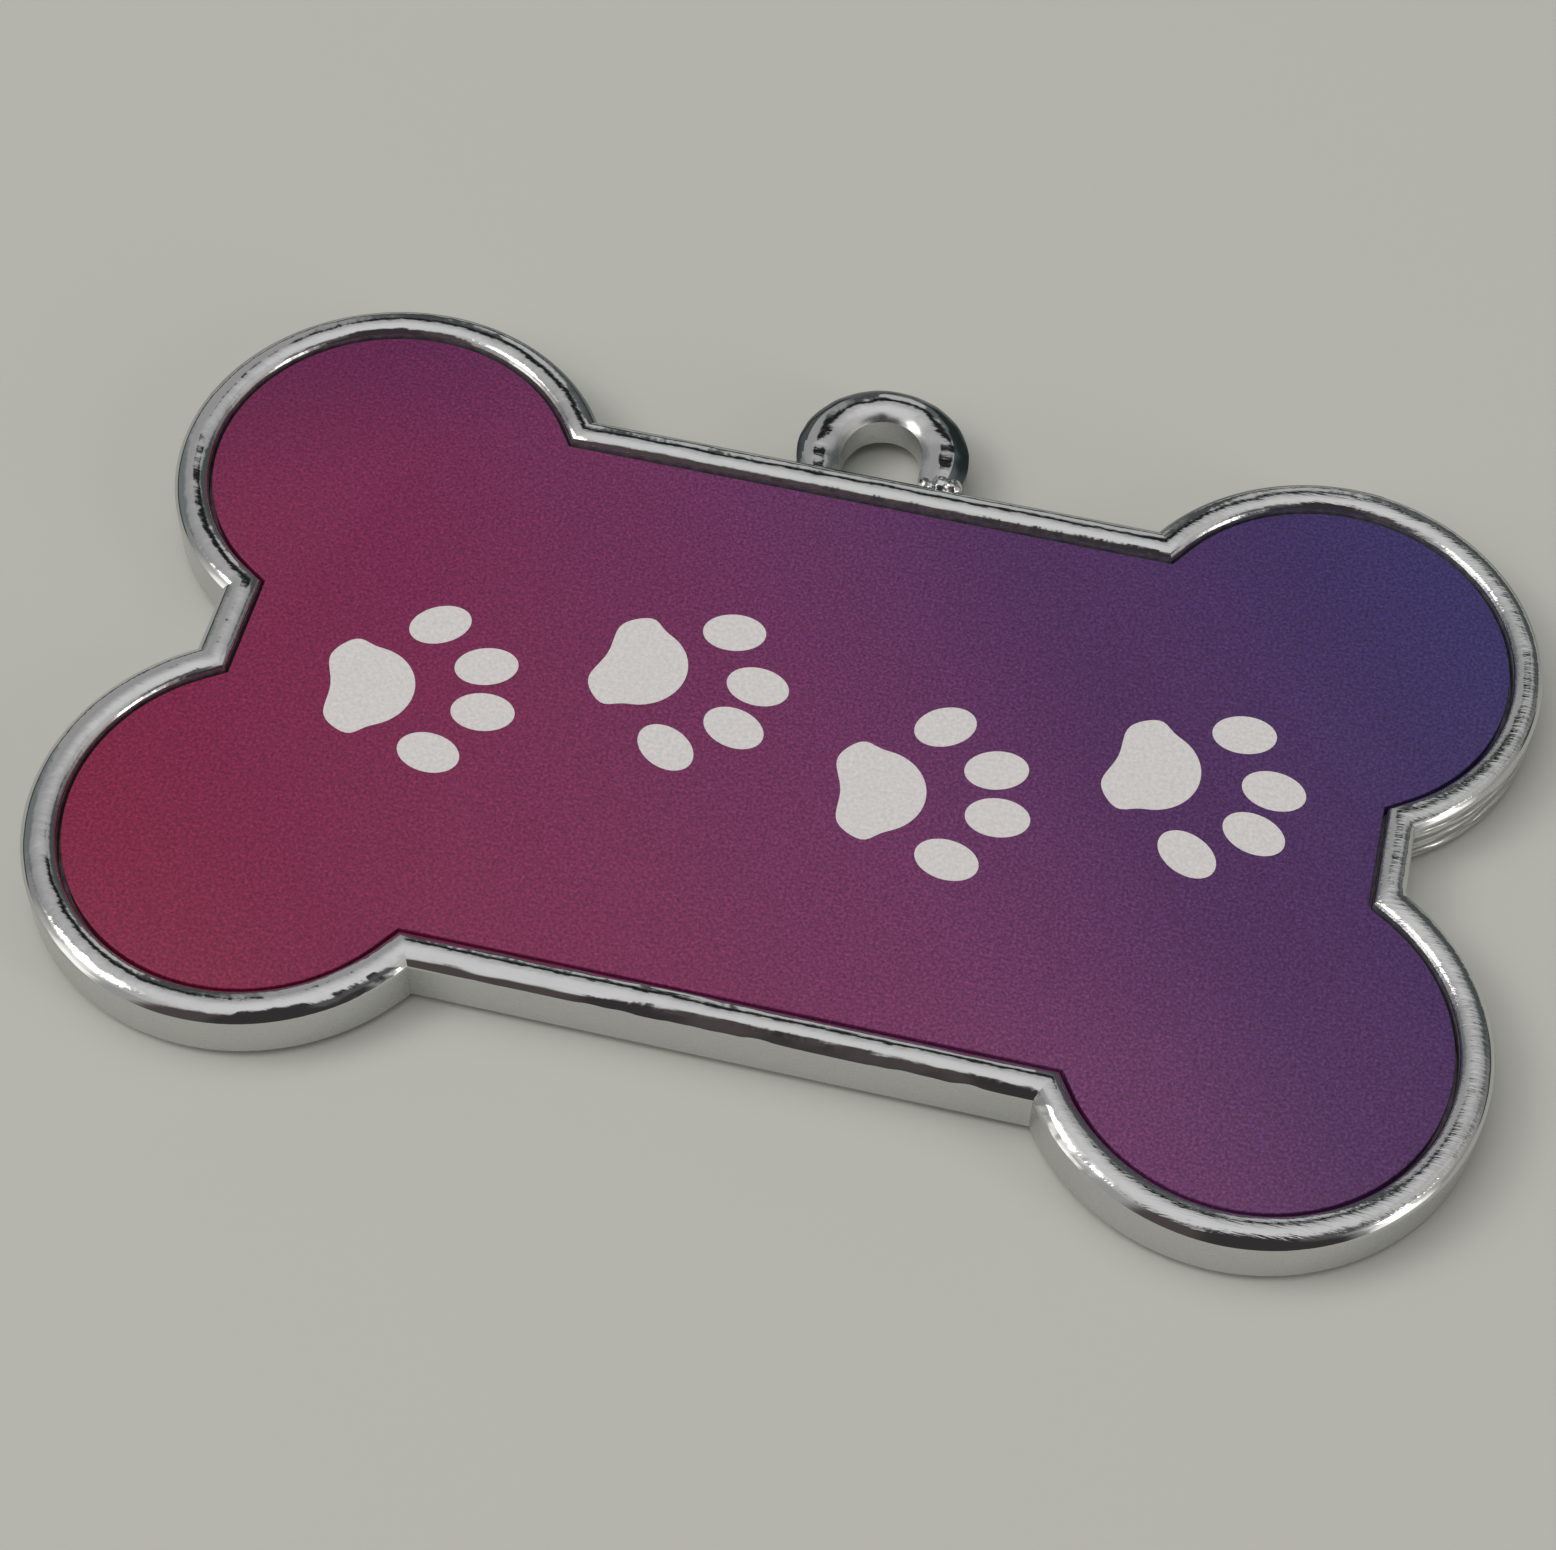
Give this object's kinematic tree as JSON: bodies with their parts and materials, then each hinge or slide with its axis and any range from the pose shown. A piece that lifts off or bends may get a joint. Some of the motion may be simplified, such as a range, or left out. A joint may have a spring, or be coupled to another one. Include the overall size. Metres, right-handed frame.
{
  "type": "pet identity tag",
  "caption": "Bone-shaped pet tag: a bright plated cast frame with a hanging loop, and a printed metal plate glued into each face.",
  "frame": {"origin": "centre of the whole tag's box, loop included, at the rear face that it lies on", "axes": "+X along the bone's length, +Y towards the hanging loop, +Z out of the front face"},
  "size_m": [0.05, 0.0324, 0.0024],
  "materials": {
    "chrome_plating": "bright chrome plating on a polished die casting",
    "front_print": "satin baked print on thin aluminium, crimson fading to indigo",
    "rear_print": "satin baked print on thin aluminium, crimson fading to indigo",
    "adhesive": "clear double-sided adhesive film"
  },
  "bodies": {
    "root": {"tag_frame": "chrome_plating", "front_plate": "front_print", "front_adhesive_pad": "adhesive", "rear_plate": "rear_print", "rear_adhesive_pad": "adhesive"}
  },
  "joints": []
}
